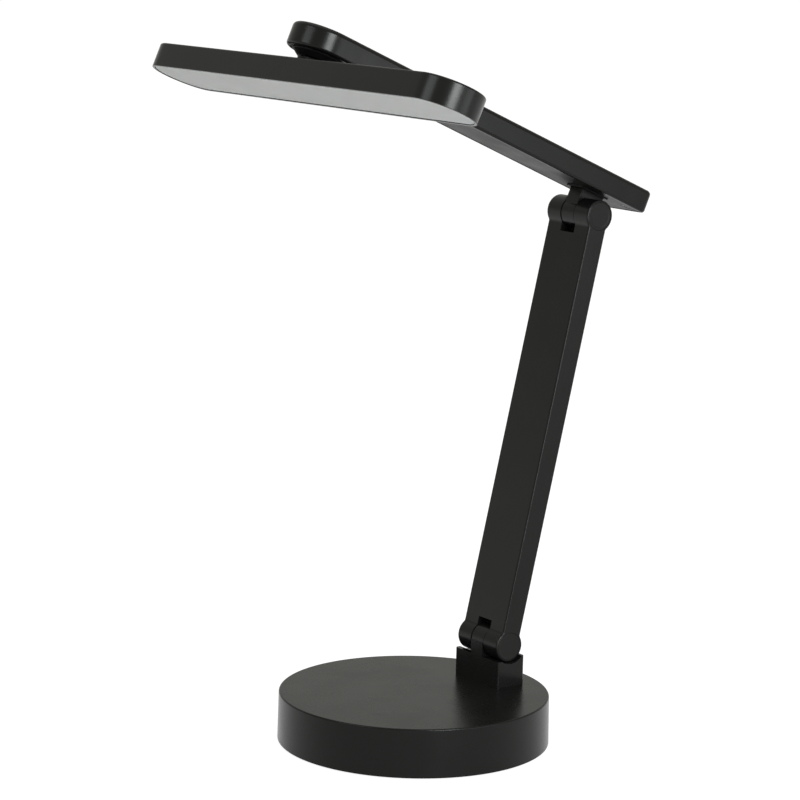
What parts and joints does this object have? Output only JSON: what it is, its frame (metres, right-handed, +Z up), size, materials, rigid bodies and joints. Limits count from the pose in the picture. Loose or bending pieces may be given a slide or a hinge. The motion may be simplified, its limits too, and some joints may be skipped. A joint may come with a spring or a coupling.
{
  "type": "desk lamp",
  "caption": "Black LED desk lamp: weighted round base, hinged lower arm, hinged upper arm and a slim round-ended light bar that swivels under its tip.",
  "frame": {"origin": "middle of the foot pad's underside, on the table under the base", "axes": "+Z up; -X from the hinge post towards the light head's side; +Y along both hinge axes and along the light head at rest"},
  "size_m": [0.2223, 0.2628, 0.3692],
  "materials": {
    "black_shell": "satin moulded black",
    "steel": "plain zinc-plated steel",
    "brass": "bare brass",
    "iron": "raw cast disc",
    "rubber": "matt black elastomer",
    "board": "green solder mask",
    "white_plastic": "white moulded or film",
    "aluminium": "bare aluminium core board",
    "opal": "opal light diffuser, unlit"
  },
  "bodies": {
    "base": {"base_shell": "black_shell", "base_bottom_plate": "black_shell", "base_plate_screws": "steel", "counterweight": "iron", "counterweight_screws": "steel", "foot_pad": "rubber", "board_foam": "rubber", "control_board": "board", "control_board_parts": "rubber", "touch_contact": "rubber", "touch_plate": "brass", "power_inlet": "black_shell", "power_port": "steel", "inlet_lead": "rubber", "board_lead": "rubber", "hinge_post": "black_shell", "hinge_post_screws": "steel"},
    "lower_arm": {"lower_arm_shell": "black_shell", "lower_arm_cover": "black_shell", "lower_arm_screws": "steel", "lower_arm_lead": "rubber", "base_hinge_pin": "steel", "base_hinge_nut": "steel", "base_hinge_spring_washer": "steel", "base_hinge_friction_washers": "black_shell", "base_hinge_caps": "black_shell", "elbow_pin": "steel", "elbow_nut": "steel", "elbow_spring_washer": "steel", "elbow_friction_washers": "black_shell", "elbow_caps": "black_shell"},
    "upper_arm": {"elbow_bracket": "black_shell", "elbow_bracket_screws": "steel", "upper_arm_shell": "black_shell", "upper_arm_cover": "black_shell", "upper_arm_screws": "steel", "upper_arm_lead": "rubber", "swivel_bush": "black_shell"},
    "head": {"swivel_stem": "black_shell", "swivel_stem_screws": "steel", "swivel_washer": "steel", "swivel_nut": "steel", "head_housing": "black_shell", "led_tape": "white_plastic", "led_board": "aluminium", "leds": "white_plastic", "led_socket": "white_plastic", "reflector_sheet": "white_plastic", "diffuser": "opal", "head_lead": "rubber"}
  },
  "joints": [
    {"name": "base_hinge", "type": "hinge", "parent": "base", "child": "lower_arm", "pos_m": [0.0478, 0, 0.0468], "axis": [0, 1, 0], "range_deg": [-52.9, 7.1]},
    {"name": "elbow_hinge", "type": "hinge", "parent": "lower_arm", "child": "upper_arm", "pos_m": [0.09857, 0, 0.26846], "axis": [0, 1, 0], "range_deg": [-90.5, 59.5]},
    {"name": "head_swivel", "type": "hinge", "parent": "upper_arm", "child": "head", "pos_m": [-0.06771, 0, 0.34575], "axis": [0.3971, 0, 0.9178], "range_deg": [-175, 175]}
  ]
}
